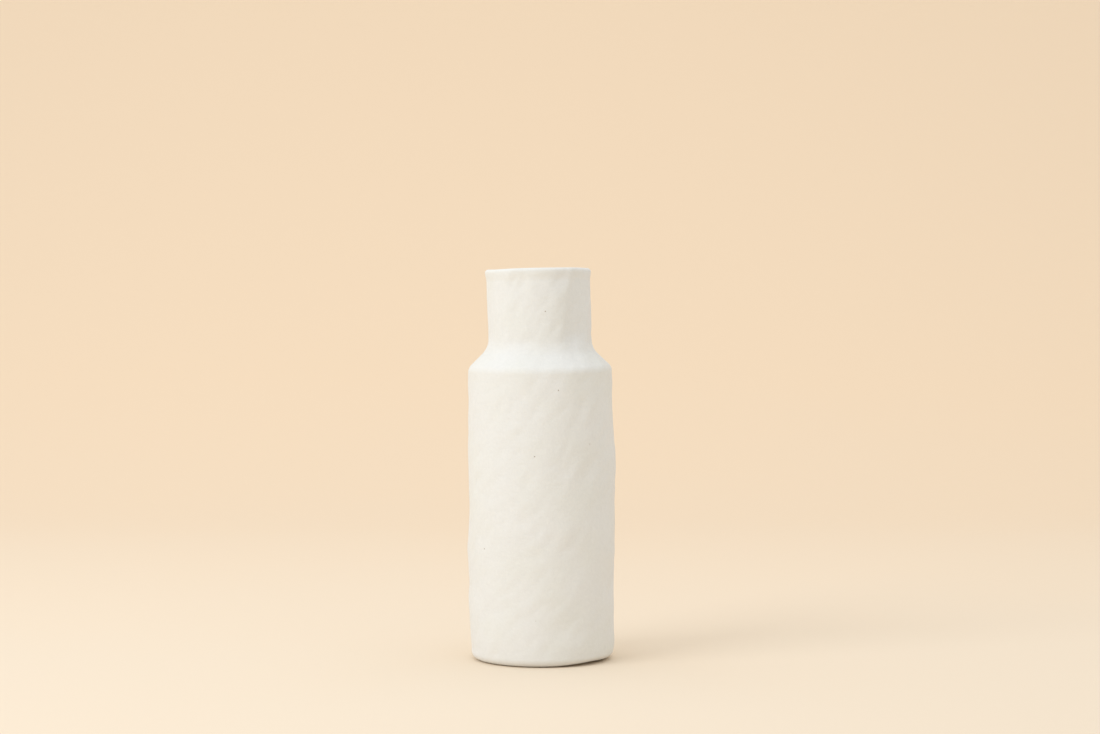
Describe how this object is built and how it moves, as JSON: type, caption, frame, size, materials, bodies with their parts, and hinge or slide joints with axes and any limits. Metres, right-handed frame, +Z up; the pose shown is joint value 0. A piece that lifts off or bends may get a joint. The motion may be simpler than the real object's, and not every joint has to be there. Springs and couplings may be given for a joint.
{
  "type": "ceramic vase",
  "caption": "Hand-built bottle-shaped ceramic vase: a straight round body, a sloping shoulder and a wide upright neck with a rounded lip, for cut or dried flower stems.",
  "frame": {"origin": "centre of the foot, on the surface that the vase stands on", "axes": "+Z up along the vase's axis, towards the mouth; -Y towards the viewer of the picture, +X to the viewer's right"},
  "size_m": [0.0828, 0.0828, 0.22],
  "materials": {
    "matte_white_clay": "dry matte white stoneware, fine sandy grain with a few pinholes and soft fingertip dents",
    "bare_clay": "bare fired stoneware, sanded smooth underneath",
    "joining_slip": "fired slip, rough, in the scored joints between slabs",
    "clear_glaze": "clear satin liner glaze over white clay"
  },
  "bodies": {
    "root": {"floor_slab": "bare_clay", "body_wall": "matte_white_clay", "shoulder_slab": "matte_white_clay", "neck_wall": "matte_white_clay", "lip_coil": "matte_white_clay", "floor_seam_coil": "bare_clay", "shoulder_seam_coil": "bare_clay", "neck_seam_coil": "matte_white_clay", "body_scarf_seam": "joining_slip", "neck_scarf_seam": "joining_slip", "floor_joint_slip": "joining_slip", "shoulder_joint_slip": "joining_slip", "neck_joint_slip": "joining_slip", "lip_joint_slip": "joining_slip", "glaze_lining": "clear_glaze"}
  },
  "joints": []
}
